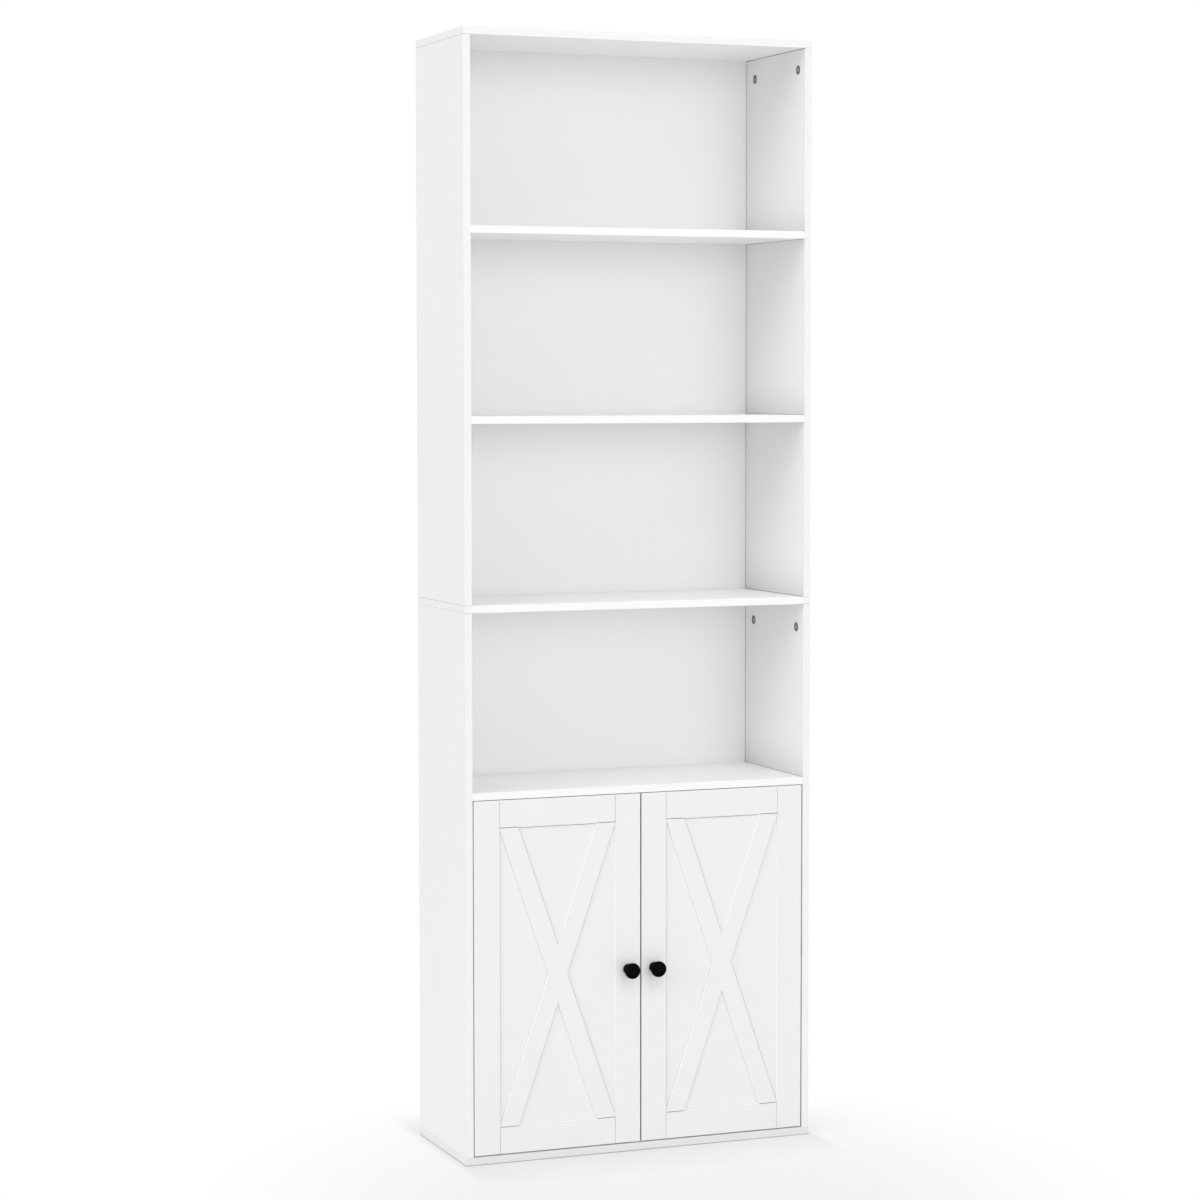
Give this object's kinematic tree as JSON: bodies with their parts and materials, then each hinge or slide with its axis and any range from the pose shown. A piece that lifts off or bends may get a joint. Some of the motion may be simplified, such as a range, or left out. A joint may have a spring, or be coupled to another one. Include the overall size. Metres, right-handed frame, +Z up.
{
  "type": "bookcase with cabinet doors",
  "caption": "Tall narrow white bookcase in stacked units, with open shelves above a cabinet behind paired doors with crossed braces and round black knobs.",
  "frame": {"origin": "on the floor, under the centre of the carcass with its back panel (the knobs are left out)", "axes": "+X to the right seen from the front, +Y to the back, +Z up; the doors face -Y"},
  "size_m": [0.6, 0.26, 1.8],
  "materials": {
    "melamine_board": "satin white melamine",
    "backing_board": "white backing board",
    "door_foil": "satin white foil",
    "black_lacquer": "satin black",
    "zinc_fitting": "zinc plated",
    "nickel_steel": "nickel plated",
    "beech": "raw beech"
  },
  "bodies": {
    "carcass": {"top_panel": "melamine_board", "upper_side_left": "melamine_board", "upper_side_right": "melamine_board", "middle_panel": "melamine_board", "lower_side_left": "melamine_board", "lower_side_right": "melamine_board", "bottom_panel": "melamine_board", "upper_shelf_high": "melamine_board", "upper_shelf_low": "melamine_board", "cabinet_top": "melamine_board", "cabinet_shelf": "melamine_board", "back_panel": "backing_board", "top_cam_left_front": "zinc_fitting", "top_cam_left_back": "zinc_fitting", "top_cam_right_front": "zinc_fitting", "top_cam_right_back": "zinc_fitting", "middle_cam_left_front": "zinc_fitting", "middle_cam_left_back": "zinc_fitting", "middle_cam_right_front": "zinc_fitting", "middle_cam_right_back": "zinc_fitting", "top_bolt_left_front": "zinc_fitting", "top_bolt_left_back": "zinc_fitting", "top_bolt_right_front": "zinc_fitting", "top_bolt_right_back": "zinc_fitting", "middle_bolt_left_front": "zinc_fitting", "middle_bolt_left_back": "zinc_fitting", "middle_bolt_right_front": "zinc_fitting", "middle_bolt_right_back": "zinc_fitting", "bottom_screw_left_front": "zinc_fitting", "bottom_screw_left_back": "zinc_fitting", "bottom_screw_right_front": "zinc_fitting", "bottom_screw_right_back": "zinc_fitting", "upper_shelf_high_dowel_left_front": "beech", "upper_shelf_high_dowel_left_back": "beech", "upper_shelf_high_dowel_right_front": "beech", "upper_shelf_high_dowel_right_back": "beech", "upper_shelf_low_dowel_left_front": "beech", "upper_shelf_low_dowel_left_back": "beech", "upper_shelf_low_dowel_right_front": "beech", "upper_shelf_low_dowel_right_back": "beech", "cabinet_top_dowel_left_front": "beech", "cabinet_top_dowel_left_back": "beech", "cabinet_top_dowel_right_front": "beech", "cabinet_top_dowel_right_back": "beech", "shelf_pin_left_front": "nickel_steel", "shelf_pin_left_back": "nickel_steel", "shelf_pin_right_front": "nickel_steel", "shelf_pin_right_back": "nickel_steel", "hinge_arm_left_low": "nickel_steel", "hinge_arm_left_high": "nickel_steel", "hinge_arm_right_low": "nickel_steel", "hinge_arm_right_high": "nickel_steel"},
    "left_door_leaf": {"door_left": "door_foil", "knob_left": "black_lacquer", "hinge_cup_left_low": "nickel_steel", "hinge_cup_left_high": "nickel_steel"},
    "right_door_leaf": {"door_right": "door_foil", "knob_right": "black_lacquer", "hinge_cup_right_low": "nickel_steel", "hinge_cup_right_high": "nickel_steel"}
  },
  "joints": [
    {"name": "left_door_hinge", "type": "hinge", "parent": "carcass", "child": "left_door_leaf", "pos_m": [-0.271, -0.11, 0.2985], "axis": [0, 0, -1], "range_deg": [0, 105]},
    {"name": "right_door_hinge", "type": "hinge", "parent": "carcass", "child": "right_door_leaf", "pos_m": [0.271, -0.11, 0.2985], "axis": [0, 0, 1], "range_deg": [0, 105]}
  ]
}
